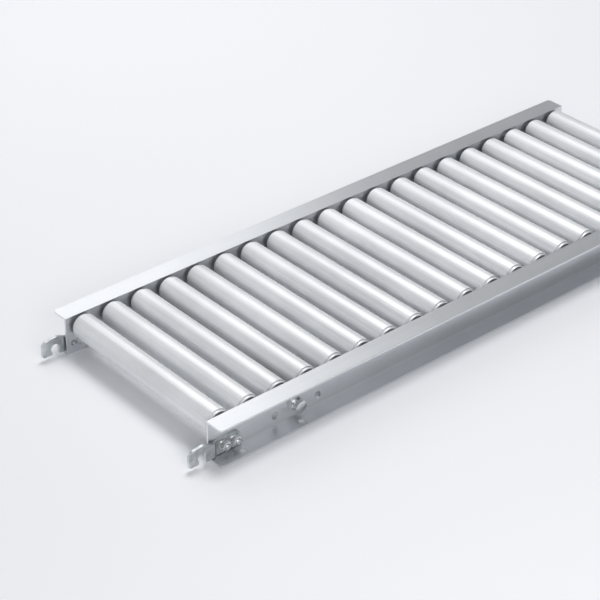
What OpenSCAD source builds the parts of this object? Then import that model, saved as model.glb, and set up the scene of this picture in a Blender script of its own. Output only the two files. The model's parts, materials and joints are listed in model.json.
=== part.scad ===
// Gravity roller conveyor: free-turning rollers on fixed axles between two channel rails,
// with coupling hooks at one end of the frame and the bushes that such hooks drop over at the other.
// Millimetres. +X runs along the conveyor away from the hooks, +Y is the left rail, +Z is up.
// The origin is on the surface that the rails stand on, at the middle of the whole length.

/* [Rollers] */
// Number of rollers, which with their spacing sets the length of the rails
roller_n = 20; // [8:1:20]
// Spacing of the rollers
pitch = 50; // [47:1:75]
// Outer diameter of the roller tube
tube_d = 38; // [30:0.5:44]
// Wall of the roller tube
tube_wall = 1.5; // [1:0.25:2]
// Gap between each end of a roller tube and the web
tube_end_gap = 5; // [4:0.5:8]
// Height of the roller tops above the rails
roller_rise = 2; // [0:0.5:6]

/* [Rails] */
// Height of the rail channel
rail_h = 60; // [52:1:80]
// Width of the flanges, measured from the inner face of the web
flange_w = 30; // [27:1:45]
// Thickness of the web and of the flanges
rail_t = 3; // [2:0.25:4]
// Clear width between the two webs
inner_w = 315; // [200:5:650]
// Radius inside the channel where a flange meets the web
root_r = 1; // [0.5:0.25:2]
// Radius of the flange corners at the ends of the rails
flange_corner_r = 5; // [2:1:8]

/* [Axles and bearings] */
// Diameter of the axle
axle_d = 8; // [6:0.5:10]
// Length of axle outside each web
axle_tail = 6; // [5:0.5:8]
// Thickness of the retaining ring on each axle end
ring_t = 1; // [0.8:0.1:1.2]
// Depth of the groove that the ring sits in
groove_depth = 0.8; // [0.5:0.1:1]
// Diameter of the bearing balls
ball_d = 4.8; // [4:0.2:5.2]
// Number of balls in each bearing
ball_n = 8; // [6:1:9]
// Thickness of the inner sleeve that the balls run on
cone_wall = 3; // [2.5:0.25:3.5]
// Sheet thickness of the bearing housing
cup_t = 1.6; // [1.2:0.2:2]

/* [Stays] */
// Number of rollers between each stay and the nearer end of the rails
stay_after = 3; // [2:1:4]
// Height of the stay above the underside
stay_z = 20; // [18:1:22]
// Outer diameter of the stay tube
stay_d = 17; // [15:1:20]
// Thread size of the stay bolts
stay_bolt_d = 10; // [8:1:10]
// Length of each stay bolt under its head
stay_bolt_l = 30; // [25:5:40]

/* [Stand and accessory holes] */
// Distance of the outer stand hole from the end of the rail
stand_hole_inset = 45; // [40:5:80]
// Distance between the two stand holes at one end
stand_hole_step = 100; // [80:5:150]
// Diameter of the stand holes
stand_hole_d = 10; // [8:0.5:11]
// Distance of the stand holes from the outer face of the web
stand_hole_y = 17; // [13:1:18]
// Distance of the accessory holes from the stay, on each side of it
side_hole_step = 37.5; // [25:0.5:45]
// Height of the accessory holes above the underside
side_hole_z = 17; // [14:1:22]
// Diameter of the accessory holes
side_hole_d = 11; // [8:0.5:12]

/* [Coupling] */
// Distance that the hooks reach past the ends of the rails
hook_reach = 37; // [34:1:45]
// Thickness of the hook plate
hook_t = 4.5; // [3:0.5:5]
// Sideways step of the hook away from the web
hook_joggle = 3; // [2:0.5:4]
// Distance from the second hook bolt to the end of the hook plate
hook_tail = 12; // [10:1:18]
// Height of the hook plate that lies on the rail
hook_root_h = 23; // [21:1:28]
// Height of the top of the hook above the underside
hook_top_z = 33.5; // [32:0.5:38]
// Distance of the coupling hole from the end of the rail
coupling_inset = 11; // [9:0.5:13]
// Height of the coupling hole above the underside
coupling_z = 16.5; // [15:0.5:18]
// Outer diameter of the coupling bush that a hook drops over
bush_d = 11; // [10:0.5:13]
// Gap between the rails of two coupled conveyors
coupling_gap = 5; // [3:0.5:6]
// Distance from the coupling hole to the first hook bolt
hook_bolt_x = 11; // [10:0.5:14]
// Thread size of the hook bolts and coupling bolts
small_bolt_d = 8; // [6:0.2:9.6]

/* [Clearances] */
// Clearance of a bolt in its hole, on the diameter
bolt_clear = 1; // [0.5:0.1:1.5]
// Clearance of an axle in its hole, on the diameter
axle_clear = 0.3; // [0.1:0.1:0.6]
// Clearance of a pressed or seated part, on the radius
seat_clear = 0.05; // [0.02:0.01:0.1]
// Gap between a part that turns and a part that stands still
run_gap = 0.35; // [0.3:0.05:0.5]
// Gap between the hook plate and the rail's inner radius under it
hook_lift = 0.2; // [0.1:0.1:1]
// Clearance of a hook's notch around the bush, on the radius
notch_clear = 1; // [0.5:0.1:1.5]
// Gap between flat faces that are bolted together
seat = 0.02; // [0:0.01:0.05]

/* [Hidden] */
$fn = 64;
eps = 0.5;

// The frame's places
rail_l = roller_n * pitch;
x0 = (hook_reach - rail_l) / 2;
x1 = x0 + rail_l;
web_in = inner_w / 2;
web_out = web_in + rail_t;
flange_out = web_in + flange_w;
flange_hole_y = web_out + stand_hole_y;
flange_edge_r = 0.5;
stay_xs = [x0 + stay_after * pitch, x1 - stay_after * pitch];
stand_xs = [for (s = [0, stand_hole_step]) each [x0 + stand_hole_inset + s, x1 - stand_hole_inset - s]];
side_xs = [for (x = stay_xs) each [x - side_hole_step, x + side_hole_step]];

// The rollers and their axles
axle_z = rail_h + roller_rise - tube_d / 2;
tube_l = inner_w - 2 * tube_end_gap;
axle_hole_d = axle_d + axle_clear;
axle_half = web_out + axle_tail;
ring_d = axle_d + 5;

// The bearing, with s counted inward from the web's inner face
cone_bore_r = axle_d / 2 + seat_clear;
cone_r = axle_d / 2 + cone_wall;
ball_r = ball_d / 2;
ball_ring_r = cone_r + seat_clear + ball_r;
cup_race_r = ball_ring_r + ball_r + run_gap;
cup_out_r = tube_d / 2 - tube_wall - seat_clear;
cup_recess = 1.2;
rim_turn = 0.6;
rim_t = 0.8;
cup_s = tube_end_gap + cup_recess;
cup_l = 10;
ball_s = cup_s + cup_l / 2;
cone_l = cup_s + cup_l;
shield_t = 0.8;
shield_s = cup_s + cup_t / 2;
shield_d = 2 * (cup_race_r - run_gap);
lip_r = tube_d / 2 - tube_wall - rim_turn;

// Fasteners, in proportion to their thread
stay_head_h = 0.64 * stay_bolt_d;
stay_head_af = 1.7 * stay_bolt_d;
flat_washer_t = 2;
flat_washer_d = 2.1 * stay_bolt_d;
spring_washer_t = 2.5;
spring_washer_d = 1.8 * stay_bolt_d;
stay_tap_r = stay_bolt_d / 2 + seat_clear;
small_af = 1.625 * small_bolt_d;
nut_h = 0.8 * small_bolt_d;
washer_t = 1.6;
washer_d = 2 * small_bolt_d;
low_head_h = 3.2;
low_head_d = 1.75 * small_bolt_d;
bolt_tip = 2;
washer_gap = 2;

// The hook and the bush that it drops over, with the hook's x counted from the end of the rails
notch_r = bush_d / 2 + notch_clear;
notch_lip = 1.5 * notch_clear;
notch_x = -(coupling_inset + coupling_gap);
notch_z = coupling_z - notch_clear;
first_bolt_x = coupling_inset + hook_bolt_x;
hook_bolt_xs = [first_bolt_x, first_bolt_x + washer_d + washer_gap];
hook_root_l = hook_bolt_xs[1] + hook_tail;
hook_low_z = rail_t + root_r + hook_lift;
hook_root_top = hook_low_z + hook_root_h;
hook_tip_z = hook_low_z + 2;
hook_drop = 3;
hook_crest_x = notch_x + 4;
hook_shoulder_x = 3;
hook_foot_r = 3;
hook_tail_r = 10;
hook_back_r = 12;
hook_nose_r = 9;
hook_tip_r = 3.5;
joggle_x0 = coupling_inset / 2;
joggle_x1 = joggle_x0 + 1.2 * hook_joggle;
hook_in = web_out + hook_joggle;
hook_out = hook_in + hook_t;
hook_face = web_out + seat + hook_t;
coupling_x = x1 - coupling_inset;
bush_l = hook_joggle + hook_t + 1.5;
bush_face = web_out + seat + bush_l;
nut_seats = [for (x = hook_bolt_xs) [x0 + x, hook_face, side_hole_z], [coupling_x, bush_face, coupling_z]];

function two_digits(i) = i < 10 ? str("0", i) : str(i);
function roller_x(i) = x0 + (i - 0.5) * pitch;

// A closed outline whose corner i is rounded by the third number of points[i]
function unit(v) = v / norm(v);
function corner(a, p, b, r) =
    let (u = unit([a[0] - p[0], a[1] - p[1]]), w = unit([b[0] - p[0], b[1] - p[1]]),
         half = acos(max(-1, min(1, u * w))) / 2, reach = r / tan(half),
         mid = [p[0], p[1]] + unit(u + w) * r / sin(half),
         from = [p[0], p[1]] + u * reach - mid, to = [p[0], p[1]] + w * reach - mid,
         a0 = atan2(from[1], from[0]), turn = atan2(from[0] * to[1] - from[1] * to[0], from * to),
         steps = max(2, ceil(abs(turn) / 12)))
    r == 0 ? [[p[0], p[1]]]
           : [for (k = [0 : steps]) mid + r * [cos(a0 + turn * k / steps), sin(a0 + turn * k / steps)]];
function rounded(points) =
    let (n = len(points))
    [for (i = [0 : n - 1])
        let (p = points[i]) each corner(points[(i + n - 1) % n], p, points[(i + 1) % n], p[2])];

// A cylinder along +Y from y, and the same mirrored to the other rail
module rod(x, y, z, d, l) translate([x, y, z]) rotate([-90, 0, 0]) cylinder(d = d, h = l);
module hexagon(x, y, z, af, l) translate([x, y, z]) rotate([-90, 0, 0]) rotate(30)
    cylinder(d = af / cos(30), h = l, $fn = 6);
module ring(x, y, z, d_out, d_in, l) difference() {
    rod(x, y, z, d_out, l);
    rod(x, y - eps, z, d_in, l + 2 * eps);
}
module both_sides() {
    children();
    mirror([0, 1, 0]) children();
}

// One channel rail on the +Y side, with its flanges turned outward
module rail() {
    profile = rounded([
        [web_in, 0, 0], [flange_out, 0, flange_edge_r], [flange_out, rail_t, flange_edge_r],
        [web_out, rail_t, root_r], [web_out, rail_h - rail_t, root_r],
        [flange_out, rail_h - rail_t, flange_edge_r], [flange_out, rail_h, flange_edge_r],
        [web_in, rail_h, 0]]);
    difference() {
        translate([x0, 0, 0]) rotate([90, 0, 90]) linear_extrude(rail_l) polygon(profile);
        for (i = [1 : roller_n]) rod(roller_x(i), web_in - eps, axle_z, axle_hole_d, rail_t + 2 * eps);
        for (x = stay_xs) rod(x, web_in - eps, stay_z, stay_bolt_d + bolt_clear, rail_t + 2 * eps);
        for (x = side_xs) rod(x, web_in - eps, side_hole_z, side_hole_d, rail_t + 2 * eps);
        for (x = [x0 + coupling_inset, coupling_x])
            rod(x, web_in - eps, coupling_z, small_bolt_d + bolt_clear, rail_t + 2 * eps);
        for (x = hook_bolt_xs)
            rod(x0 + x, web_in - eps, side_hole_z, small_bolt_d + bolt_clear, rail_t + 2 * eps);
        for (x = stand_xs) translate([x, flange_hole_y, -eps])
            cylinder(d = stand_hole_d, h = rail_t + 2 * eps);
        flange_corner(x0, 1);
        flange_corner(x1, -1);
    }
}

// The waste that rounds both flanges' outer corners at one end of the rail
module flange_corner(x, inward) {
    c = flange_corner_r;
    difference() {
        translate([x + (inward > 0 ? -eps : -c), flange_out - c, -eps])
            cube([c + eps, c + eps, rail_h + 2 * eps]);
        translate([x + inward * c, flange_out - c, -2 * eps]) cylinder(r = c, h = rail_h + 4 * eps);
    }
}

module rail_left() color([0.80, 0.81, 0.83]) rail();
module rail_right() color([0.80, 0.81, 0.83]) mirror([0, 1, 0]) rail();

// Fixed axles, each with a groove outside either web for its retaining ring
module axles() color([0.62, 0.63, 0.65]) for (i = [1 : roller_n]) difference() {
    rod(roller_x(i), -axle_half, axle_z, axle_d, 2 * axle_half);
    both_sides()
        ring(roller_x(i), web_out + seat, axle_z, axle_d + eps, axle_d - 2 * groove_depth, ring_t + 3 * seat);
}

// Spring steel rings, open at the bottom, that hold the axles in the webs
module axle_rings() color([0.30, 0.31, 0.33]) both_sides() for (i = [1 : roller_n]) difference() {
    ring(roller_x(i), web_out + 2 * seat, axle_z, ring_d, axle_d - 2 * groove_depth + 2 * seat_clear, ring_t);
    translate([roller_x(i) - axle_d / 4, web_out - eps, axle_z - ring_d])
        cube([axle_d / 2, ring_t + 2 * eps, ring_d]);
}

// The sleeve of each bearing, fixed on the axle with its end against the web
module bearing_cones() color([0.55, 0.56, 0.58]) both_sides() for (i = [1 : roller_n])
    ring(roller_x(i), web_in - cone_l, axle_z, 2 * cone_r, 2 * cone_bore_r, cone_l - seat);

module bearing_balls() color([0.75, 0.76, 0.78]) both_sides() for (i = [1 : roller_n], k = [0 : ball_n - 1])
    translate([roller_x(i) + ball_ring_r * cos(360 * k / ball_n), web_in - ball_s,
               axle_z + ball_ring_r * sin(360 * k / ball_n)]) sphere(r = ball_r, $fn = 24);

// A thin cover on the sleeve that closes each bearing towards the web
module bearing_shields() color([0.35, 0.36, 0.38]) both_sides() for (i = [1 : roller_n])
    ring(roller_x(i), web_in - shield_s - shield_t, axle_z, shield_d, 2 * (cone_r + seat_clear), shield_t);

// A roller tube with its rims turned in over the bearing housings
module roller_tube(i) color([0.78, 0.79, 0.80]) translate([roller_x(i), 0, axle_z]) rotate([-90, 0, 0])
    rotate_extrude() {
        half_l = tube_l / 2;
        turned_l = half_l - rim_t;
        rim = [[lip_r, half_l], [tube_d / 2 - rim_t, half_l], [tube_d / 2, turned_l]];
        wall = [[tube_d / 2 - tube_wall, turned_l], [lip_r, turned_l]];
        polygon(concat(rim, down(concat(wall, rim)), wall));
    }
function down(points) = [for (k = [len(points) - 1 : -1 : 0]) [points[k][0], -points[k][1]]];

// The pressed steel housings in both ends of one roller tube: disc, skirt and ball race
module roller_ends(i) color([0.50, 0.51, 0.53]) both_sides()
    translate([roller_x(i), web_in - cup_s, axle_z]) rotate([90, 0, 0]) rotate_extrude() {
        translate([cup_race_r, 0]) square([cup_out_r - cup_race_r, cup_t]);
        translate([cup_out_r - cup_t, 0]) square([cup_t, cup_l]);
        translate([cup_race_r, 0]) square([cup_t, cup_l]);
    }

// A stay tube between the webs, tapped at both ends
module stay(x) color([0.66, 0.67, 0.68]) difference() {
    rod(x, -web_in + seat, stay_z, stay_d, inner_w - 2 * seat);
    both_sides() rod(x, web_in - stay_bolt_l, stay_z, 2 * stay_tap_r, stay_bolt_l + eps);
}
module stay_front() stay(stay_xs[0]);
module stay_rear() stay(stay_xs[1]);

module stay_flat_washers() color([0.72, 0.73, 0.75]) both_sides() for (x = stay_xs)
    ring(x, web_out + seat, stay_z, flat_washer_d, stay_bolt_d + bolt_clear, flat_washer_t);
spring_y = web_out + flat_washer_t + 2 * seat;
module stay_spring_washers() color([0.55, 0.56, 0.58]) both_sides() for (x = stay_xs) difference() {
    ring(x, spring_y, stay_z, spring_washer_d, stay_bolt_d + bolt_clear, spring_washer_t);
    translate([x - 1, spring_y - eps, stay_z]) cube([2, spring_washer_t + 2 * eps, spring_washer_d]);
}
head_y = spring_y + spring_washer_t + seat;
module stay_bolts() color([0.78, 0.79, 0.81]) both_sides() for (x = stay_xs) {
    hexagon(x, head_y, stay_z, stay_head_af, stay_head_h);
    rod(x, head_y - stay_bolt_l, stay_z, stay_bolt_d, stay_bolt_l);
}

// A joggled hook plate on the +Y rail: flat on the web, then stepped outward past its end
module hook() translate([x0, 0, 0]) difference() {
    intersection() {
        translate([0, flange_out, 0]) rotate([90, 0, 0]) linear_extrude(flange_out) polygon(rounded([
            [hook_root_l, hook_low_z, hook_foot_r], [hook_root_l, hook_root_top, hook_tail_r],
            [hook_shoulder_x, hook_root_top, hook_back_r], [hook_crest_x, hook_top_z, hook_back_r],
            [-hook_reach, hook_top_z - hook_drop, hook_nose_r], [-hook_reach, hook_tip_z, hook_tip_r],
            [notch_x, hook_tip_z, 0], [notch_x, hook_low_z, 0]]));
        linear_extrude(rail_h) polygon([
            [hook_root_l + eps, web_out + seat], [joggle_x1, web_out + seat], [joggle_x0, hook_in],
            [-hook_reach - eps, hook_in], [-hook_reach - eps, hook_out], [joggle_x0, hook_out],
            [joggle_x1, hook_face], [hook_root_l + eps, hook_face]]);
    }
    rod(notch_x, web_out, notch_z, 2 * notch_r, flange_w);
    translate([notch_x - notch_r + notch_lip, web_out, -eps])
        cube([2 * notch_r - notch_lip, flange_w, notch_z + eps]);
    for (x = hook_bolt_xs) rod(x, web_out - eps, side_hole_z, small_bolt_d + bolt_clear, flange_w);
}
module hook_left() color([0.60, 0.63, 0.62]) hook();
module hook_right() color([0.60, 0.63, 0.62]) mirror([0, 1, 0]) hook();

// A low-headed bolt from inside the web, long enough for what is clamped outside it
module low_bolt(x, z, clamped) {
    rod(x, web_in - seat - low_head_h, z, low_head_d, low_head_h);
    rod(x, web_in - low_head_h / 2, z, small_bolt_d,
        low_head_h / 2 + rail_t + clamped + washer_t + nut_h + bolt_tip);
}
module hook_bolts() color([0.62, 0.65, 0.64]) both_sides()
    for (x = hook_bolt_xs) low_bolt(x0 + x, side_hole_z, hook_t);
module coupling_bolts() color([0.62, 0.65, 0.64]) both_sides() low_bolt(coupling_x, coupling_z, bush_l);

// Bushes at the far end, which the next conveyor's hooks drop over
module coupling_bushes() color([0.68, 0.69, 0.70]) both_sides()
    ring(coupling_x, web_out + seat, coupling_z, bush_d, small_bolt_d + 2 * seat_clear, bush_l);

module bolt_washers() color([0.70, 0.72, 0.71]) both_sides() for (p = nut_seats)
    ring(p[0], p[1] + seat, p[2], washer_d, small_bolt_d + bolt_clear, washer_t);
module bolt_nuts() color([0.66, 0.69, 0.68]) both_sides() for (p = nut_seats) difference() {
    hexagon(p[0], p[1] + washer_t + 2 * seat, p[2], small_af, nut_h);
    rod(p[0], p[1], p[2], small_bolt_d + 2 * seat_clear, washer_t + nut_h + 2 * eps);
}

rail_left();
rail_right();
axles();
axle_rings();
bearing_cones();
bearing_balls();
bearing_shields();
stay_front();
stay_rear();
stay_bolts();
stay_spring_washers();
stay_flat_washers();
hook_left();
hook_right();
hook_bolts();
coupling_bolts();
coupling_bushes();
bolt_washers();
bolt_nuts();
for (i = [1 : roller_n]) {
    roller_tube(i);
    roller_ends(i);
}
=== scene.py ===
# %% [markdown]
# # A gravity roller conveyor
# A gravity conveyor is a simple machine: two long aluminium channels hold a row of steel axles, and a
# tube turns freely on each axle. This notebook rebuilds every metal piece as a clean mesh around the
# engineering model, which fixes where each piece is and how it moves. The model is loaded first, so
# that the lengths and places below can be read from it and never drift away from it.

# %% Load the engineering model
import json
import math

import bmesh
import bpy
from mathutils import Matrix, Vector


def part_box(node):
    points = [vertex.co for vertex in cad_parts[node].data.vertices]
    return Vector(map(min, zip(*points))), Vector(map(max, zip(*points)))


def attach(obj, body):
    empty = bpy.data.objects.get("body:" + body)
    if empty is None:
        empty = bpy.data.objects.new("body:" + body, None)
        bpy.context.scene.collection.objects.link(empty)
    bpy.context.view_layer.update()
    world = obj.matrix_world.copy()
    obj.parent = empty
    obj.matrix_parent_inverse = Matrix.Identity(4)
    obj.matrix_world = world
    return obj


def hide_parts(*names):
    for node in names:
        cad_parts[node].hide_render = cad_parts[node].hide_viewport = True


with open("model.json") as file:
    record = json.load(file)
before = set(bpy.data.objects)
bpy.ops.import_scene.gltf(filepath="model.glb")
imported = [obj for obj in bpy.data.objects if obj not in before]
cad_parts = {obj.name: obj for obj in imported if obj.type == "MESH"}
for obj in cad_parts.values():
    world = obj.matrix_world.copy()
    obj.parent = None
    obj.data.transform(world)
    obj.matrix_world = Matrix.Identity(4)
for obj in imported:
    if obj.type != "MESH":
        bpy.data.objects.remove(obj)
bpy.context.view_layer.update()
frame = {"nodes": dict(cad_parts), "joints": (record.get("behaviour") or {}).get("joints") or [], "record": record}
mounts = {mount["name"]: mount for mount in frame["record"]["mounts"]}
joints = frame["joints"]
print(f"{len(frame['nodes'])} nodes, {len(joints)} turning rollers")

# %% [markdown]
# ## The camera
# The camera looks down at the hook end from the right, with a long lens, so that the rails hardly
# converge. A long lens is a narrow view from far away: the distance, and not the lens, sets how much
# smaller the far end looks. The camera is placed by its azimuth and elevation around a point near the
# middle of the conveyor, and two small offsets then slide the picture across the frame.

# %% Make the camera
scene = bpy.context.scene
CAMERA_AZIMUTH = math.radians(-40.52)
CAMERA_ELEVATION = math.radians(32.52)
CAMERA_DISTANCE = 2.950
CAMERA_SLIDE_RIGHT = -0.1572
CAMERA_SLIDE_UP = -0.0330
LENS_MM = 118.9

rail_low, rail_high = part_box("rail_left")
rail_middle = Vector(((rail_low.x + rail_high.x) / 2, 0, 0))


def camera_axes(azimuth, elevation):
    """The directions back, right and up of a level camera that looks at the model."""
    back = Vector((math.sin(azimuth) * math.cos(elevation),
                   -math.cos(azimuth) * math.cos(elevation),
                   math.sin(elevation)))
    right = Vector((0, 0, 1)).cross(back).normalized()
    return back, right, back.cross(right)


camera_back, camera_right, camera_up = camera_axes(CAMERA_AZIMUTH, CAMERA_ELEVATION)
camera = bpy.data.objects.new("camera", bpy.data.cameras.new("camera"))
scene.collection.objects.link(camera)
camera.data.lens = LENS_MM
camera.data.sensor_width = 36
camera.data.clip_start = 0.05
camera.data.clip_end = 50
camera.location = (rail_middle + camera_back * CAMERA_DISTANCE
                   + camera_right * CAMERA_SLIDE_RIGHT + camera_up * CAMERA_SLIDE_UP)
camera.rotation_euler = (-camera_back).to_track_quat("-Z", "Y").to_euler()
scene.camera = camera
print("camera at", tuple(round(v, 3) for v in camera.location))

# %% [markdown]
# ## Helpers: from a bmesh to a finished piece
# A bmesh is Blender's editable mesh. Every piece here starts as one, is shaped by operators, and then
# becomes an object that stays at the origin with its place in its vertices. Smooth shading is wanted
# on round faces and not across corners, so each edge is marked sharp by the angle between its faces.

# %% Turn a bmesh into a piece
MM = 0.001
SHARP = math.radians(32)


def mark_edges(bm):
    """Smooth faces everywhere, with a sharp edge wherever the surface turns a corner."""
    for face in bm.faces:
        face.smooth = True
    for edge in bm.edges:
        edge.smooth = edge.calc_face_angle(math.pi) < SHARP


def to_object(bm, name):
    """An object at the origin that holds the finished bmesh."""
    bmesh.ops.remove_doubles(bm, verts=bm.verts, dist=0.5e-6)
    bmesh.ops.recalc_face_normals(bm, faces=bm.faces)
    mark_edges(bm)
    mesh = bpy.data.meshes.new(name)
    bm.to_mesh(mesh)
    bm.free()
    piece = bpy.data.objects.new(name, mesh)
    scene.collection.objects.link(piece)
    return piece


def place(piece, material, slot, body, *nodes):
    """Gives a piece its material and says which body it rides on and which nodes it stands for."""
    piece.data.materials.clear()
    piece.data.materials.append(material)
    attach(piece, body)
    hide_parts(*nodes)
    return piece


def report(title, *pieces):
    """Prints how many faces the pieces have together."""
    print(f"{title}: {sum(len(piece.data.polygons) for piece in pieces)} faces in {len(pieces)} piece(s)")


# %% [markdown]
# Most pieces here are turned parts: tubes, rods, washers, sleeves. A turned part is an outline spun
# around an axis, so one lathe function makes them all. The outline is a list of radius and place along
# the axis, and it is closed for a ring and open for a rod, whose ends meet the axis. All the axes in
# this machine run across it, along Y, so a left-hand part is the right-hand one with its Y turned over.

# %% The lathe
AROUND = 64


def spin_outline(bm, outline, centre, side, closed, around=AROUND):
    """Spins (radius, place) points in millimetres around a Y axis through centre, outward to a side."""
    cx, cy, cz = centre
    ring = [bm.verts.new((cx, cy + side * s * MM, cz + r * MM)) for r, s in outline]
    follow = ring[1:] + ring[:1] if closed else ring[1:]
    edges = [bm.edges.new(pair) for pair in zip(ring, follow)]
    bmesh.ops.spin(bm, geom=ring + edges, cent=centre, axis=(0, 1, 0), dvec=(0, 0, 0),
                   angle=2 * math.pi, space=Matrix.Identity(4), steps=around,
                   use_merge=True, use_normal_flip=False, use_duplicate=False)


def arc(centre, radius, first, last, steps=4):
    """Points on a circle from one angle to another, in degrees, for the round parts of an outline."""
    angles = [math.radians(first + (last - first) * k / steps) for k in range(steps + 1)]
    return [(centre[0] + radius * math.cos(a), centre[1] + radius * math.sin(a)) for a in angles]


def dent(radius, place, half_width, depth, steps=6):
    """Points of a shallow round groove in a face, from the smaller radius to the larger."""
    curve = (half_width ** 2 + depth ** 2) / (2 * depth)
    rim = math.degrees(math.acos(half_width / curve))
    return arc((radius, place + depth - curve), curve, 180 - rim, rim, steps)


def ring_outline(inner, outer, start, end, edge=0.2):
    """A washer's cross-section with its four corners broken by a small chamfer."""
    return [(inner, start + edge), (inner + edge, start), (outer - edge, start), (outer, start + edge),
            (outer, end - edge), (outer - edge, end), (inner + edge, end), (inner, end - edge)]


print("lathe ready,", AROUND, "steps around")

# %% [markdown]
# ## Metal finishes
# Bare metal has hardly any colour of its own: what tells aluminium from zinc plate is how sharply it
# reflects, and the fine marks that its making left. One function builds them all. Stretched noise draws
# the long scratches of extruding, drawing or turning, a fine noise gives the satin its grain, and a
# broad noise makes some patches a little duller than others. All three read Object coordinates, in
# metres, so the marks keep their real size and stay on a piece when it moves. A drawn tube that has
# grown a thin chalky skin of oxide is only partly bare metal, and then some of its light is scattered.

# %% A metal with marks of its making
def noise(tree, coordinates, scale, detail, stretch=(1, 1, 1)):
    """A noise texture on coordinates that are first stretched along the axes."""
    mapping = tree.nodes.new("ShaderNodeMapping")
    mapping.inputs["Scale"].default_value = stretch
    texture = tree.nodes.new("ShaderNodeTexNoise")
    texture.inputs["Scale"].default_value = scale
    texture.inputs["Detail"].default_value = detail
    tree.links.new(coordinates, mapping.inputs["Vector"])
    tree.links.new(mapping.outputs["Vector"], texture.inputs["Vector"])
    return texture.outputs["Fac"]


def weigh(tree, first, second, share):
    """Mixes two grey values, with share of the second."""
    mix = tree.nodes.new("ShaderNodeMix")
    mix.data_type = "FLOAT"
    mix.inputs["Factor"].default_value = share
    tree.links.new(first, mix.inputs["A"])
    tree.links.new(second, mix.inputs["B"])
    return mix.outputs["Result"]


def spread(tree, value, low, high, start=0.3, end=0.7):
    """Maps a noise, which stays near its middle, onto the range that a socket needs."""
    ranged = tree.nodes.new("ShaderNodeMapRange")
    ranged.inputs["From Min"].default_value = start
    ranged.inputs["From Max"].default_value = end
    ranged.inputs["To Min"].default_value = low
    ranged.inputs["To Max"].default_value = high
    tree.links.new(value, ranged.inputs["Value"])
    return ranged.outputs["Result"]


def metal(name, bright, dull, roughness, marks, mark_depth=0.02, grain=1400, patch=9, mark_share=0.5,
          relief=0.35, bare=1.0):
    """A metal that varies from bright to dull, with a low and a high roughness and stretched marks."""
    material = bpy.data.materials.new(name)
    material.use_nodes = True
    tree = material.node_tree
    shader = tree.nodes["Principled BSDF"]
    shader.inputs["Metallic"].default_value = bare
    where = tree.nodes.new("ShaderNodeTexCoord").outputs["Object"]
    lines = noise(tree, where, 1, 3, marks)
    grains = noise(tree, where, grain, 2)
    patches = noise(tree, where, patch, 4)
    colour = tree.nodes.new("ShaderNodeMix")
    colour.data_type = "RGBA"
    colour.inputs["A"].default_value = (*dull, 1)
    colour.inputs["B"].default_value = (*bright, 1)
    tree.links.new(spread(tree, weigh(tree, patches, lines, mark_share), 0, 1, 0.35, 0.65),
                   colour.inputs["Factor"])
    tree.links.new(colour.outputs["Result"], shader.inputs["Base Color"])
    tree.links.new(spread(tree, weigh(tree, lines, grains, 0.4), *roughness), shader.inputs["Roughness"])
    bump = tree.nodes.new("ShaderNodeBump")
    bump.inputs["Strength"].default_value = relief
    bump.inputs["Distance"].default_value = mark_depth * MM
    tree.links.new(weigh(tree, lines, grains, 0.35), bump.inputs["Height"])
    tree.links.new(bump.outputs["Normal"], shader.inputs["Normal"])
    return material


rail_aluminium = metal("satin_rail", (0.80, 0.815, 0.84), (0.72, 0.735, 0.76), (0.28, 0.38),
                       (2, 700, 700), 0.012, bare=0.85)
roller_aluminium = metal("satin_roller", (0.90, 0.91, 0.925), (0.73, 0.74, 0.755), (0.49, 0.64),
                         (420, 1.5, 420), 0.012, relief=0.35, bare=0.7)
hook_steel = metal("zinc_hook", (0.72, 0.745, 0.75), (0.44, 0.47, 0.48), (0.26, 0.42),
                   (120, 120, 120), 0.03, patch=60, mark_share=0.35)
bolt_steel = metal("zinc_bolt", (0.80, 0.81, 0.82), (0.60, 0.61, 0.61), (0.18, 0.32),
                   (300, 60, 300), 0.01, patch=80, mark_share=0.4)
axle_steel = metal("drawn_axle", (0.70, 0.71, 0.72), (0.55, 0.56, 0.57), (0.22, 0.38),
                   (90, 900, 90), 0.01)
housing_steel = metal("pressed_housing", (0.50, 0.52, 0.53), (0.30, 0.32, 0.33), (0.28, 0.44),
                      (200, 200, 200), 0.02, patch=70)
bearing_steel = metal("ground_bearing", (0.64, 0.65, 0.66), (0.50, 0.51, 0.52), (0.20, 0.34),
                      (90, 900, 90), 0.008)
ball_steel = metal("polished_ball", (0.84, 0.85, 0.86), (0.76, 0.77, 0.78), (0.08, 0.16),
                   (300, 300, 300), 0.004)
spring_steel = metal("oiled_spring", (0.30, 0.31, 0.33), (0.16, 0.17, 0.18), (0.30, 0.48),
                     (400, 400, 400), 0.015, patch=90)
print(len(bpy.data.materials), "materials")

# %% [markdown]
# ## The roller tubes
# A conveyor roller is a thin drawn tube, and each end is spun in over the bearing housing: a small
# shoulder steps down to a short neck, which grips the housing and ends in a round rim. Those are what
# draws the dark and the bright line at the end of each roller, so all are part of the outline, which
# then goes back inside with the wall's thickness. The lathe makes each tube in one spin. Every roller
# is a mesh of its own, because it rides on the body that turns it.

# %% Spin the twenty tubes
tube_low, tube_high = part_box("roller_tube_01")
tube_r = (tube_high.z - tube_low.z) / 2 / MM
tube_half = (tube_high.y - tube_low.y) / 2 / MM
TUBE_WALL = 1.5
NECK_LENGTH = 4.8
NECK_WALL = 0.8
SHOULDER_ROUND = 1.1
SHOULDER_ROOT = 1.0
RIM_ROUND = 0.5
TUBE_AROUND = 96
neck_r = tube_r - SHOULDER_ROUND - SHOULDER_ROOT
lip_r = neck_r - NECK_WALL


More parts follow.
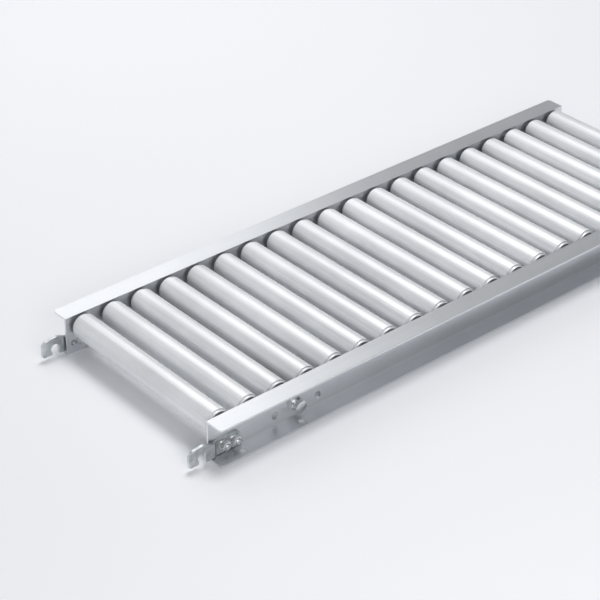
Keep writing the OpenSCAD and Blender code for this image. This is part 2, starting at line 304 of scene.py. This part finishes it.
def tube_outline():
    """Half the tube's wall in cross-section: the shoulder, the neck, its rim and the inside."""
    step = tube_half - NECK_LENGTH
    shoulder = arc((tube_r - SHOULDER_ROUND, step), SHOULDER_ROUND, 0, 90, 5)
    root = arc((tube_r - SHOULDER_ROUND, step + SHOULDER_ROUND + SHOULDER_ROOT), SHOULDER_ROOT, 270, 180)
    rim = arc((neck_r - RIM_ROUND, tube_half - RIM_ROUND), RIM_ROUND, 0, 90, 5)
    inner_rim = arc((lip_r + 0.3, tube_half - 0.3), 0.3, 90, 180, 3)
    inside = [(lip_r, step + SHOULDER_ROUND), (tube_r - TUBE_WALL, step - SHOULDER_ROOT)]
    return shoulder + root[1:] + rim + inner_rim + inside


def whole_tube_outline():
    """The right half, and the same mirrored for the left."""
    half = tube_outline()
    return half + [(r, -s) for r, s in reversed(half)]


tubes = []
for joint in joints:
    number = joint["child"].split("_")[-1]
    bm = bmesh.new()
    spin_outline(bm, whole_tube_outline(), joint["pos_m"], 1, closed=True, around=TUBE_AROUND)
    tube = to_object(bm, f"tube_{number}")
    place(tube, roller_aluminium, "roller_aluminium", joint["child"], f"roller_tube_{number}")
    tubes.append(tube)
report("roller tubes", *tubes)

# %% [markdown]
# ## The bearing housings
# Each end of a tube holds a pressed steel cup. The press leaves it with soft bends: a skirt that fits
# the neck, a shallow bead that stiffens the disc, and an inner collar that the balls run in. A flat
# disc would look like a plug, so the bead is drawn into the outline as two arcs. Both housings of a
# roller are one mesh, since they turn together.

# %% Spin the housings
web_in = rail_low.y / MM
cup_face = web_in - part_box("roller_ends_01")[1].y / MM
CUP_LENGTH = 10
CUP_SHEET = 1.6
CUP_RACE_R = 12.2
CUP_BEAD_R = 14.4
cup_r = lip_r - 0.05


def cup_outline():
    """The housing's sheet in cross-section, with places counted inward from its visible face."""
    bend = 0.9
    skirt = [(cup_r, CUP_LENGTH), (cup_r - CUP_SHEET, CUP_LENGTH), (cup_r - CUP_SHEET, CUP_SHEET + 0.3)]
    back = [(CUP_RACE_R + CUP_SHEET + 0.2, CUP_SHEET + 0.1), (CUP_RACE_R + CUP_SHEET, CUP_SHEET + 0.6)]
    collar = [(CUP_RACE_R + CUP_SHEET, CUP_LENGTH), (CUP_RACE_R, CUP_LENGTH), (CUP_RACE_R, bend)]
    face = arc((CUP_RACE_R + bend, bend), bend, 180, 270, 4)
    bead = dent(CUP_BEAD_R, 0, 0.7, 0.35)
    shoulder = arc((cup_r - bend, bend), bend, -90, 0, 4)
    return skirt + back + collar + face + bead + shoulder


def cup_at_end(outline):
    """The same points as radius and distance from the middle of the conveyor."""
    return [(r, web_in - cup_face - s) for r, s in outline]


ends = []
for joint in joints:
    number = joint["child"].split("_")[-1]
    bm = bmesh.new()
    for side in (1, -1):
        spin_outline(bm, cup_at_end(cup_outline()), joint["pos_m"], side, closed=True)
    end = to_object(bm, f"housings_{number}")
    place(end, housing_steel, "housing_steel", joint["child"], f"roller_ends_{number}")
    ends.append(end)
report("bearing housings", *ends)

# %% [markdown]
# ## The rails
# An extruded channel has one cross-section for its whole length, so it is drawn once as a flat face and
# pulled along X. Two things then turn the bare channel into a real one: the flange corners are rounded
# where a hand would meet them, and every hole is cut by a Boolean, with one cutter mesh that holds all
# the holes of a rail. A Bevel modifier comes last, limited by angle, so that it breaks the edges of the
# holes as well as those of the channel. Without that thin bright line, metal looks like cardboard.

# %% Draw, pull and round a channel
rail_start, rail_end = rail_low.x, rail_high.x
RAIL_H = rail_high.z / MM
FLANGE_TIP = rail_high.y / MM
RAIL_T = 3
ROOT_R = 1
CORNER_R = 5
web_out = web_in + RAIL_T


def channel(side):
    """A channel with its web inside and its flanges outward, and rounded corners on the flanges."""
    low_root = arc((web_out + ROOT_R, RAIL_T + ROOT_R), ROOT_R, 270, 180, 4)
    high_root = arc((web_out + ROOT_R, RAIL_H - RAIL_T - ROOT_R), ROOT_R, 180, 90, 4)
    section = [(web_in, 0), (FLANGE_TIP, 0), (FLANGE_TIP, RAIL_T), *low_root, *high_root,
               (FLANGE_TIP, RAIL_H - RAIL_T), (FLANGE_TIP, RAIL_H), (web_in, RAIL_H)]
    bm = bmesh.new()
    corners = [bm.verts.new((rail_start, side * y * MM, z * MM)) for y, z in section]
    pulled = bmesh.ops.extrude_face_region(bm, geom=[bm.faces.new(corners)], use_keep_orig=True)
    moved = [item for item in pulled["geom"] if isinstance(item, bmesh.types.BMVert)]
    bmesh.ops.translate(bm, verts=moved, vec=(rail_end - rail_start, 0, 0))
    tips = [edge for edge in bm.edges
            if all(abs(abs(vert.co.y) - FLANGE_TIP * MM) < 1e-6 for vert in edge.verts)
            and abs(edge.verts[0].co.z - edge.verts[1].co.z) > RAIL_T * MM / 2]
    bmesh.ops.bevel(bm, geom=tips, offset=CORNER_R * MM, segments=8, profile=0.5,
                    affect="EDGES", material=-1)
    return bm


# %% [markdown]
# The holes come in families, and each family keeps to its own rule: one for each axle, one for each
# stay bolt with a spare hole on either side, two for the hook's bolts, one for the coupling bolt at each
# end, and two stand holes in the lower flange at each end. The record of the engineering model gives the
# mounts' places, and the axles' places are the joints' own.

# %% Cut the holes
ROD_HALF = 6


def add_rod(bm, place, diameter, axis):
    """Adds a rod that will cut a round hole through a sheet, along Y or Z."""
    turn = Matrix.Rotation(math.radians(90), 4, "X") if axis == "Y" else Matrix.Identity(4)
    radius = diameter / 2 * MM
    bmesh.ops.create_cone(bm, cap_ends=True, segments=40, radius1=radius, radius2=radius,
                          depth=2 * ROD_HALF * MM, matrix=Matrix.Translation(place) @ turn)


def cut(piece, cutter, operation="DIFFERENCE"):
    """Cuts a piece with the cutter's mesh, keeps the result as the piece's mesh and drops the cutter."""
    tool = to_object(cutter, "cutter")
    step = piece.modifiers.new("cut", "BOOLEAN")
    step.operation = operation
    step.solver = "EXACT"
    step.object = tool
    solid = piece.evaluated_get(bpy.context.evaluated_depsgraph_get())
    result = bpy.data.meshes.new_from_object(solid)
    piece.modifiers.clear()
    piece.data = result
    bpy.data.objects.remove(tool)


def break_edges(piece, width=0.25):
    """Breaks every sharp edge with a fine round that keeps the flat faces flat."""
    for polygon in piece.data.polygons:
        polygon.use_smooth = True
    for edge in piece.data.edges:
        edge.use_edge_sharp = False
    step = piece.modifiers.new("broken edges", "BEVEL")
    step.limit_method = "ANGLE"
    step.angle_limit = SHARP
    step.width = width * MM
    step.segments = 2
    step.harden_normals = True


AXLE_HOLE, STAY_HOLE, SMALL_HOLE = 8.3, 11, 9
HOOK_BOLTS = (22, 40)
coupling = mounts["coupling_bush_left"]["pos_m"]
coupling_inset = rail_end - coupling[0]
side_row = mounts["side_bolts_front_left"]["pos_m"]
side_rows = [mounts[f"side_bolts_{end}_left"] for end in ("front", "rear")]
stand_sets = [mounts[f"stand_bolts_{end}"] for end in ("front", "rear")]
stay_z = (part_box("stay_front")[0].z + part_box("stay_front")[1].z) / 2
hook_xs = [rail_start + x * MM for x in HOOK_BOLTS]
web_middle = (web_in + RAIL_T / 2) * MM


def hole_cutter(side):
    """One mesh with a rod for every hole of a rail."""
    y = side * web_middle
    bm = bmesh.new()
    for joint in joints:
        add_rod(bm, (joint["pos_m"][0], y, joint["pos_m"][2]), AXLE_HOLE, "Y")
    for row in side_rows:
        middle_x, step = row["pos_m"][0], row["dims"]["spacing_x_mm"] * MM / 2
        add_rod(bm, (middle_x, y, stay_z), STAY_HOLE, "Y")
        for x in (middle_x - step, middle_x + step):
            add_rod(bm, (x, y, side_row[2]), 2 * row["dims"]["hole_r_mm"], "Y")
    for x in (rail_start + coupling_inset, rail_end - coupling_inset):
        add_rod(bm, (x, y, coupling[2]), SMALL_HOLE, "Y")
    for x in hook_xs:
        add_rod(bm, (x, y, side_row[2]), SMALL_HOLE, "Y")
    for stand in stand_sets:
        size = stand["dims"]
        middle_x, step = stand["pos_m"][0], size["spacing_x_mm"] * MM / 2
        for x in (middle_x - step, middle_x + step):
            spot = (x, side * size["spacing_y_mm"] / 2 * MM, RAIL_T / 2 * MM)
            add_rod(bm, spot, 2 * size["hole_r_mm"], "Z")
    return bm


# %% Make both rails
rails = []
for side, name in ((1, "rail_left"), (-1, "rail_right")):
    rail = to_object(channel(side), f"channel_{name[5:]}")
    cut(rail, hole_cutter(side))
    break_edges(rail)
    place(rail, rail_aluminium, "rail_aluminium", "frame", name)
    rails.append(rail)
report("rails", *rails)

# %% [markdown]
# ## Axles, retaining rings and bearings
# What turns and what stands still is easy to mix up here. The axle is fixed: it rests in the webs, and a
# spring steel ring in a groove at each end keeps it there. A sleeve on the axle reaches from the web
# into the roller, and the balls run between that sleeve and the housing in the tube. So the axle, the
# ring, the sleeve and its cover ride on the frame, and only the tube and its housings turn. The balls
# sit closed in behind the cover, and there are hundreds of them, so a few dozen faces each must do.

# %% Spin the axles with their grooves
axle_low, axle_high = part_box("axles")
AXLE_R = (axle_high.z - axle_low.z) / 2 / MM
axle_half = axle_high.y / MM
GROOVE_R = 3.2
GROOVE = (web_out + 0.02, web_out + 1.08)
AXLE_CHAMFER = 0.6


def axle_outline():
    """From one end's middle to the other's, with a groove near each end."""
    half = [(AXLE_R, GROOVE[0]), (GROOVE_R, GROOVE[0]), (GROOVE_R, GROOVE[1]), (AXLE_R, GROOVE[1]),
            (AXLE_R, axle_half - AXLE_CHAMFER), (AXLE_R - AXLE_CHAMFER, axle_half), (0, axle_half)]
    return [(r, -s) for r, s in reversed(half)] + half


bm = bmesh.new()
for joint in joints:
    spin_outline(bm, axle_outline(), joint["pos_m"], 1, closed=False, around=40)
axles = to_object(bm, "steel_axles")
place(axles, axle_steel, "axle_steel", "frame", "axles")
report("axles", axles)

# %% [markdown]
# A retaining ring and a spring washer are both rings with a piece missing. The lathe can stop before it
# has gone round: the outline starts at one side of the opening, turns by less than a full circle, and
# the two ends are then closed with a face each.

# %% Spin the split rings
def split_ring(bm, outline, centre, side, opening, gap, around):
    """Spins a ring from one side of its opening to the other. Opening is an angle, 0 for the top."""
    cx, cy, cz = centre
    start = math.radians(opening + gap / 2)
    ring = [bm.verts.new((cx, cy + side * s * MM, cz + r * MM)) for r, s in outline]
    cap = bm.faces.new(ring)
    bmesh.ops.rotate(bm, verts=ring, cent=centre, matrix=Matrix.Rotation(start, 3, "Y"))
    cap.copy()
    bmesh.ops.spin(bm, geom=[cap], cent=centre, axis=(0, 1, 0), dvec=(0, 0, 0),
                   angle=math.radians(360 - gap), space=Matrix.Identity(4), steps=around,
                   use_merge=False, use_normal_flip=False, use_duplicate=False)


RING_OPENING = 45
ring_low, ring_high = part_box("axle_rings")
ring_outer = (ring_high.z - ring_low.z) / 2 / MM
ring_end = ring_high.y / MM
bm = bmesh.new()
for joint in joints:
    for side in (1, -1):
        outline = ring_outline(GROOVE_R + 0.05, ring_outer, ring_end - 1, ring_end, 0.12)
        split_ring(bm, outline, joint["pos_m"], side, 180, RING_OPENING, 36)
rings = to_object(bm, "retaining_rings")
place(rings, spring_steel, "spring_steel", "frame", "axle_rings")
report("retaining rings", rings)

# %% Spin the bearings' sleeves and covers
SLEEVE = (4.05, 7)
SLEEVE_LENGTH = 16.18
SHIELD = (7.05, 11.85)
SHIELD_SHEET = 0.8
sleeve_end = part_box("bearing_cones")[1].y / MM
shield_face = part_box("bearing_shields")[1].y / MM


def shield_outline():
    """A thin cover with a shallow groove pressed round it."""
    inner, outer = SHIELD
    groove = [(r, shield_face - depth) for r, depth in dent((inner + outer) / 2, 0, 1.4, 0.25)]
    return [(inner, shield_face), *groove, (outer - 0.15, shield_face), (outer, shield_face - 0.15),
            (outer, shield_face - SHIELD_SHEET), (inner, shield_face - SHIELD_SHEET)]


def at_every_bearing(name, outline, around=40):
    """One mesh with the same turned piece at both ends of every roller."""
    bm = bmesh.new()
    for joint in joints:
        for side in (1, -1):
            spin_outline(bm, outline, joint["pos_m"], side, closed=True, around=around)
    return to_object(bm, name)


sleeves = at_every_bearing(
    "bearing_sleeves", ring_outline(*SLEEVE, sleeve_end - SLEEVE_LENGTH, sleeve_end, 0.3))
place(sleeves, bearing_steel, "bearing_steel", "frame", "bearing_cones")
covers = at_every_bearing("bearing_covers", shield_outline(), 48)
place(covers, housing_steel, "bearing_steel", "frame", "bearing_shields")
report("sleeves and covers", sleeves, covers)

# %% Set the balls between sleeve and housing
BALL_R, BALL_RING_R, BALL_N = 2.4, 9.45, 8
ball_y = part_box("bearing_balls")[1].y - BALL_R * MM
bm = bmesh.new()
for joint in joints:
    x, _, z = joint["pos_m"]
    for side in (1, -1):
        for k in range(BALL_N):
            angle = 2 * math.pi * k / BALL_N
            around = Vector((math.cos(angle), 0, math.sin(angle))) * BALL_RING_R * MM
            spot = Vector((x, side * ball_y, z)) + around
            bmesh.ops.create_icosphere(bm, subdivisions=2, radius=BALL_R * MM,
                                       matrix=Matrix.Translation(spot))
balls = to_object(bm, "steel_balls")
place(balls, ball_steel, "ball_steel", "frame", "bearing_balls")
report("balls", balls)

# %% [markdown]
# ## Stays and their bolts
# Two stay tubes hold the rails apart, and a bolt with a spring washer and a flat washer draws each end
# of a stay against its web. A hexagon head is a six-sided prism whose top corners a lathe has taken off:
# cutting a cone-topped barrel out of a prism gives exactly the curved corner lines that a real bolt
# has. One head is made, and every bolt and nut is a copy of its mesh, moved to its place.

# %% Make a hexagon blank
HEX_CORNER = 1 / math.cos(math.radians(30))
HEX_CHAMFER = math.radians(30)
HEX_FACE_INSET = 0.35
HEX_BARREL_CLEAR = 0.4


def hexagon(name, across_flats, height, chamfer_bottom, bore=0):
    """A bolt head or nut on the Y axis, standing from y = 0, with chamfered corners and perhaps a bore."""
    bm = bmesh.new()
    corner = across_flats / 2 * HEX_CORNER * MM
    upright = Matrix.Rotation(math.radians(-90), 4, "X") @ Matrix.Rotation(math.radians(30), 4, "Z")
    bmesh.ops.create_cone(bm, cap_ends=True, segments=6, radius1=corner, radius2=corner,
                          depth=height * MM, matrix=Matrix.Translation((0, height / 2 * MM, 0)) @ upright)
    blank = to_object(bm, name)
    face = across_flats / 2 - HEX_FACE_INSET
    rim = across_flats / 2 * HEX_CORNER + HEX_BARREL_CLEAR
    slope = (rim - face) * math.tan(HEX_CHAMFER)
    barrel = [(face, 0), (rim, slope)] if chamfer_bottom else [(rim, -1)]
    barrel += [(rim, height - slope), (face, height)]
    if bore:
        sink = bore + 0.5
        barrel += [(sink, height), (bore, height - 0.5), (bore, 0.5), (sink, 0)]
    else:
        barrel = [(0, barrel[0][1])] + barrel + [(0, barrel[-1][1])]
    tool = bmesh.new()
    spin_outline(tool, barrel, (0, 0, 0), 1, closed=bool(bore), around=72)
    cut(blank, tool, "INTERSECT")
    return blank


def copies(name, sources):
    """One mesh from many: sources lists a mesh, a place for its origin, and the side it faces."""
    bm = bmesh.new()
    for mesh, spot, side in sources:
        first = len(bm.verts)
        bm.from_mesh(mesh)
        bm.verts.ensure_lookup_table()
        for vert in bm.verts[first:]:
            vert.co.y *= side
            vert.co += Vector(spot)
    return to_object(bm, name)


print("hexagon blanks ready")

# %% Make the stays, their bolts and their washers
STAY_BORE, STAY_BORE_DEPTH = 5.05, 30
HEAD_AF, HEAD_HEIGHT = 17, 6.4
STAY_BOLT_R, STAY_BOLT_LENGTH = 5, 30
stay_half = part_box("stay_front")[1].y / MM
stay_r = (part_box("stay_front")[1].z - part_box("stay_front")[0].z) / 2 / MM
stay_xs = [row["pos_m"][0] for row in side_rows]
head_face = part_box("stay_bolts")[1].y / MM - HEAD_HEIGHT


def stay_outline():
    """Half a stay in cross-section: a rod with a deep bore in its end, from the middle outward."""
    half = [(0, stay_half - STAY_BORE_DEPTH), (STAY_BORE, stay_half - STAY_BORE_DEPTH),
            (STAY_BORE, stay_half - 0.5), (STAY_BORE + 0.5, stay_half), (stay_r - 0.5, stay_half),
            (stay_r, stay_half - 0.5)]
    return half + [(r, -s) for r, s in reversed(half)]


def threaded(radius, start, tip, pitch):
    """A thread drawn as ridges, from its start to a chamfered tip that ends on the axis."""
    ridge, chamfer = 0.35 * pitch, 0.8
    turns = int((tip - chamfer - start) / pitch)
    outline = [(radius, start)]
    for k in range(turns):
        place_y = start + k * pitch
        outline += [(radius - ridge, place_y + 0.4 * pitch), (radius, place_y + 0.8 * pitch)]
    return outline + [(radius, tip - chamfer), (radius - chamfer, tip), (0, tip)]


stays = []
for name, x in zip(("stay_front", "stay_rear"), stay_xs):
    bm = bmesh.new()
    spin_outline(bm, stay_outline(), (x, 0, stay_z), 1, closed=False)
    stay = to_object(bm, f"tube_{name}")
    place(stay, axle_steel, "axle_steel", "frame", name)
    stays.append(stay)

head = hexagon("hex_head", HEAD_AF, HEAD_HEIGHT, chamfer_bottom=False)
bm = bmesh.new()
shank = [(0, 0), (STAY_BOLT_R, 0)] + threaded(STAY_BOLT_R, 4, STAY_BOLT_LENGTH, 1.5)
spin_outline(bm, shank, (0, 0, 0), -1, closed=False, around=40)
shank = to_object(bm, "hex_shank")
sides = [(x, side) for x in stay_xs for side in (1, -1)]
stay_bolts = copies("stay_bolts_hex", [(part.data, (x, side * head_face * MM, stay_z), side)
                                       for x, side in sides for part in (head, shank)])
for part in (head, shank):
    bpy.data.objects.remove(part)
place(stay_bolts, bolt_steel, "bolt_steel", "frame", "stay_bolts")
report("stays and bolts", *stays, stay_bolts)

# %% Spin the washers
FLAT_WASHER = (5.5, 10.5, 2)
SPRING_WASHER = (5.5, 9, 2.5)
SPRING_GAP = 14
flat_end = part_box("stay_flat_washers")[1].y / MM
spring_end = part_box("stay_spring_washers")[1].y / MM
bm = bmesh.new()
for x, side in sides:
    inner, outer, thick = FLAT_WASHER
    outline = ring_outline(inner, outer, flat_end - thick, flat_end, 0.25)
    spin_outline(bm, outline, (x, 0, stay_z), side, closed=True)
flat_washers = to_object(bm, "flat_washers")
place(flat_washers, bolt_steel, "bolt_steel", "frame", "stay_flat_washers")

bm = bmesh.new()
for x, side in sides:
    inner, outer, thick = SPRING_WASHER
    outline = ring_outline(inner, outer, spring_end - thick, spring_end, 0.2)
    split_ring(bm, outline, (x, 0, stay_z), side, 0, SPRING_GAP, 56)
spring_washers = to_object(bm, "spring_washers")
place(spring_washers, bolt_steel, "bolt_steel", "frame", "stay_spring_washers")
report("washers", flat_washers, spring_washers)

# %% [markdown]
# ## The coupling hooks
# A hook is cut from thick plate, bolted to the web, and stepped outward past the rail's end so that it
# clears the next conveyor's web and drops over its bush. The outline is drawn as a flat face with sharp
# corners, and bevelling its corner points rounds each by its own radius. The face is pulled to the
# plate's thickness, the bolt holes are drilled, and a few slices across the plate let it bend: every
# point past the bend is pushed outward along a soft S curve, as a press would.

# %% Draw a hook's outline
HOOK_T = 4.5
HOOK_STEP = 2.98
BEND = (5.0, 9.6)
NOTCH = (-16, 15.5, 6.5)
NOTCH_LIP = -21
TIP_Z = 6.2
hook_face = web_out + 0.02
CORNERS = [(52, 4.2, 3), (52, 27.2, 10), (3, 27.2, 12), (-12, 33.5, 12), (-37, 30.5, 9), (-37, TIP_Z, 3.5)]


def notch_outline():
    """From the hook's tip up one side of the notch, over its round top and down the other side."""
    x, z, radius = NOTCH
    start = 180 + math.degrees(math.acos((x - NOTCH_LIP) / radius))
    top = [(px, pz, 0) for px, pz in arc((x, z), radius, start, 0, 28)]
    return [(NOTCH_LIP, TIP_Z, 1), *top, (x + radius, CORNERS[0][1], 1)]


def round_corner(bm, vert, radius):
    """Rounds one corner of a flat face to a radius."""
    ways = [(edge.other_vert(vert).co - vert.co).normalized() for edge in vert.link_edges]
    reach = radius * MM / math.tan(ways[0].angle(ways[1]) / 2)
    bmesh.ops.bevel(bm, geom=[vert], offset=reach, segments=8, profile=0.5, affect="VERTICES",
                    material=-1, clamp_overlap=False)


def hook_plate():
    """The hook as a flat plate on the +Y side, before its bend."""
    points = CORNERS + notch_outline()
    bm = bmesh.new()
    corners = [bm.verts.new((rail_start + x * MM, hook_face * MM, z * MM)) for x, z, _ in points]
    bm.faces.new(corners)
    for vert, (_, _, radius) in zip(corners, points):
        if radius:
            round_corner(bm, vert, radius)
    pulled = bmesh.ops.extrude_face_region(bm, geom=list(bm.faces), use_keep_orig=True)
    moved = [item for item in pulled["geom"] if isinstance(item, bmesh.types.BMVert)]
    bmesh.ops.translate(bm, verts=moved, vec=(0, HOOK_T * MM, 0))
    return bm


print(len(CORNERS + notch_outline()), "points in the hook's outline")

# %% Drill, bend and finish both hooks
BEND_SLICES = 8


def bend_hook(bm):
    """Slices the plate across and pushes everything past the bend outward, along an S curve."""
    start, end = (rail_start + x * MM for x in BEND)
    for k in range(BEND_SLICES + 1):
        x = start + (end - start) * k / BEND_SLICES
        bmesh.ops.bisect_plane(bm, geom=bm.verts[:] + bm.edges[:] + bm.faces[:],
                               plane_co=(x, 0, 0), plane_no=(1, 0, 0), dist=1e-6)
    for vert in bm.verts:
        share = min(1, max(0, (end - vert.co.x) / (end - start)))
        vert.co.y += HOOK_STEP * MM * share * share * (3 - 2 * share)


def hook(name, side):
    """One hook, drilled for its two bolts, bent, and turned over for the right-hand rail."""
    plate = to_object(hook_plate(), name)
    drill = bmesh.new()
    for x in hook_xs:
        add_rod(drill, (x, (hook_face + HOOK_T / 2) * MM, side_row[2]), SMALL_HOLE, "Y")
    cut(plate, drill)
    bm = bmesh.new()
    bm.from_mesh(plate.data)
    bend_hook(bm)
    if side < 0:
        bmesh.ops.scale(bm, vec=(1, -1, 1), verts=bm.verts)
        bmesh.ops.recalc_face_normals(bm, faces=bm.faces)
    bm.to_mesh(plate.data)
    bm.free()
    break_edges(plate, 0.5)
    return plate


hooks = [place(hook(f"plate_{name}", side), hook_steel, "hook_steel", "frame", name)
         for name, side in (("hook_left", 1), ("hook_right", -1))]
report("hooks", *hooks)

# %% [markdown]
# ## The small bolts, nuts and bushes
# Low-headed bolts pass from inside the web through the hook, or at the other end through a bush, into a
# washer and a nut. The same lathe and hexagon make them. Only the last few turns of thread show past a
# nut, so the ridges are drawn there alone.

# %% Make the small fasteners
SMALL_R = 4
LOW_HEAD_R, LOW_HEAD_H = 7, 3.2
NUT_AF, NUT_H, NUT_BORE = 13, 6.4, 4.05
SMALL_WASHER = (4.5, 8, 1.6)
BUSH = (4.05, 5.5, 9)
THREAD_PITCH, THREAD_LENGTH = 1.25, 10
bolt_face = web_in - 0.02
hook_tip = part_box("hook_bolts")[1].y / MM
coupling_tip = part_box("coupling_bolts")[1].y / MM
NUT_FROM_TIP = coupling_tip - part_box("bolt_nuts")[1].y / MM
spots = [(x, side_row[2], hook_tip) for x in hook_xs] + [(coupling[0], coupling[2], coupling_tip)]


def low_bolt_outline(tip):
    """A low round head inside the web, and a shank that is threaded near its tip."""
    top = bolt_face - LOW_HEAD_H
    head = [(0, top), (LOW_HEAD_R - 1.4, top), (LOW_HEAD_R - 0.4, top + 0.5), (LOW_HEAD_R, top + 1.6),
            (LOW_HEAD_R, bolt_face), (SMALL_R, bolt_face)]
    return head + threaded(SMALL_R, tip - THREAD_LENGTH, tip, THREAD_PITCH)


def at_spots(name, outline_for, around=AROUND):
    """One mesh of turned pieces on both sides of the machine, one for each spot."""
    bm = bmesh.new()
    for x, z, tip in spots:
        for side in (1, -1):
            spin_outline(bm, outline_for(tip), (x, 0, z), side, closed=outline_for(tip)[0][0] > 0,
                         around=around)
    return to_object(bm, name)


def ring_from_tip(size, back):
    """The cross-section of a washer or bush that ends a distance back from a bolt's tip."""
    inner, outer, thick = size
    return lambda tip: ring_outline(inner, outer, tip - back - thick, tip - back, 0.25)


small_bolts = at_spots("low_bolts", low_bolt_outline, 40)
washers = at_spots("small_washers", ring_from_tip(SMALL_WASHER, NUT_FROM_TIP + NUT_H + 0.02))
nut = hexagon("hex_nut", NUT_AF, NUT_H, chamfer_bottom=True, bore=NUT_BORE)
nuts = copies("hex_nuts", [(nut.data, (x, side * (tip - NUT_FROM_TIP - NUT_H) * MM, z), side)
                           for x, z, tip in spots for side in (1, -1)])
bpy.data.objects.remove(nut)
inner, outer, length = BUSH
bush_outline = ring_outline(inner, outer, hook_face, hook_face + length, 0.6)
bm = bmesh.new()
for side in (1, -1):
    spin_outline(bm, bush_outline, tuple(coupling[:1]) + (0, coupling[2]), side, closed=True)
bushes = to_object(bm, "bushes")

place(small_bolts, bolt_steel, "bolt_steel", "frame", "hook_bolts", "coupling_bolts")
place(washers, bolt_steel, "bolt_steel", "frame", "bolt_washers")
place(nuts, bolt_steel, "bolt_steel", "frame", "bolt_nuts")
place(bushes, axle_steel, "axle_steel", "frame", "coupling_bushes")
report("small fasteners", small_bolts, washers, nuts, bushes)

# %% [markdown]
# ## The floor
# A product picture stands on something plain. One large flat sheet is enough here, because the camera
# looks down and never meets a horizon. It is a mesh like any other, but it isn't part of the machine:
# it rides on no body, so it never moves with it. Far from the lamps such a sheet fades to grey.
# So well outside the machine it glows a little, for camera rays only, and that glow lights nothing.

# %% Lay the floor
FLOOR_HALF = 30
GLOW = 0.55
GLOW_START, GLOW_FULL = 1.6, 5
bm = bmesh.new()
bmesh.ops.create_grid(bm, x_segments=1, y_segments=1, size=FLOOR_HALF)
floor = to_object(bm, "floor")
paper = bpy.data.materials.new("pale_paper")
paper.use_nodes = True
tree = paper.node_tree
paper_shader = tree.nodes["Principled BSDF"]
paper_shader.inputs["Base Color"].default_value = (0.94, 0.95, 0.975, 1)
paper_shader.inputs["Roughness"].default_value = 0.9
paper_shader.inputs["Specular IOR Level"].default_value = 0.1
paper_shader.inputs["Emission Color"].default_value = (0.97, 0.98, 1, 1)
reach = tree.nodes.new("ShaderNodeVectorMath")
reach.operation = "LENGTH"
tree.links.new(tree.nodes.new("ShaderNodeTexCoord").outputs["Object"], reach.inputs["Vector"])
fade = spread(tree, reach.outputs["Value"], 0, GLOW, GLOW_START, GLOW_FULL)
glow = tree.nodes.new("ShaderNodeMath")
glow.operation = "MULTIPLY"
tree.links.new(tree.nodes.new("ShaderNodeLightPath").outputs["Is Camera Ray"], glow.inputs[0])
tree.links.new(fade, glow.inputs[1])
tree.links.new(glow.outputs["Value"], paper_shader.inputs["Emission Strength"])
floor.data.materials.append(paper)
print("floor", 2 * FLOOR_HALF, "m wide")

# %% [markdown]
# ## Light
# Metal shows what is around it far more than what shines on it, so its light is planned as shapes. Each
# panel has one task. The far panel is what the flange tops mirror, and it stops short on the right, so
# that they fade from white to grey along their length. The left and right panels stand low behind the
# machine and fill the flanks of the rollers. A high panel lights the floor and gives the soft shadows,
# and one beyond the hooks lifts the side that faces the camera. The near web and the flange under it
# mirror each other, and so together show what is above the floor in front of them: a weak front panel
# there brightens the hook end of the rail alone. A dim world fills the rest. No panel shows itself.

# %% Hang the soft panels
def panel(name, place_at, aim_at, width, height, power):
    """A rectangular soft light at a place, turned to face a point."""
    light = bpy.data.lights.new(name, "AREA")
    light.shape = "RECTANGLE"
    light.size = width
    light.size_y = height
    light.energy = power
    lamp = bpy.data.objects.new(name, light)
    scene.collection.objects.link(lamp)
    lamp.visible_camera = False
    lamp.location = place_at
    lamp.rotation_euler = (Vector(aim_at) - Vector(place_at)).to_track_quat("-Z", "Y").to_euler()
    return light


far_panel = panel("far_panel", (0.39, 1.75, 1.55), (0, 0, 0.1), 1.7, 1.6, 5.5)
far_panel.spread = math.radians(130)
panel("left_panel", (-2.0, 2.1, 1.05), (0, 0, 0.05), 3.4, 2.2, 17)
panel("right_panel", (2.4, 1.3, 0.4), (0, 0, 0.05), 2.0, 0.6, 4)
panel("high_panel", (1.0, 0.7, 4.4), (0, 0, 0), 2.0, 2.0, 103)
panel("hook_panel", (-1.0, -1.55, 0.95), (-0.4, -0.15, 0.03), 1.0, 0.8, 8)
panel("front_panel", (0.08, -1.13, 0.84), (-0.45, -0.17, 0.03), 0.85, 0.7, 1.15)
world = bpy.data.worlds.new("studio")
world.use_nodes = True
world.node_tree.nodes["Background"].inputs["Color"].default_value = (0.88, 0.90, 0.94, 1)
world.node_tree.nodes["Background"].inputs["Strength"].default_value = 0.22
scene.world = world
scene.view_settings.view_transform = "Standard"
print(len(bpy.data.lights), "panels")
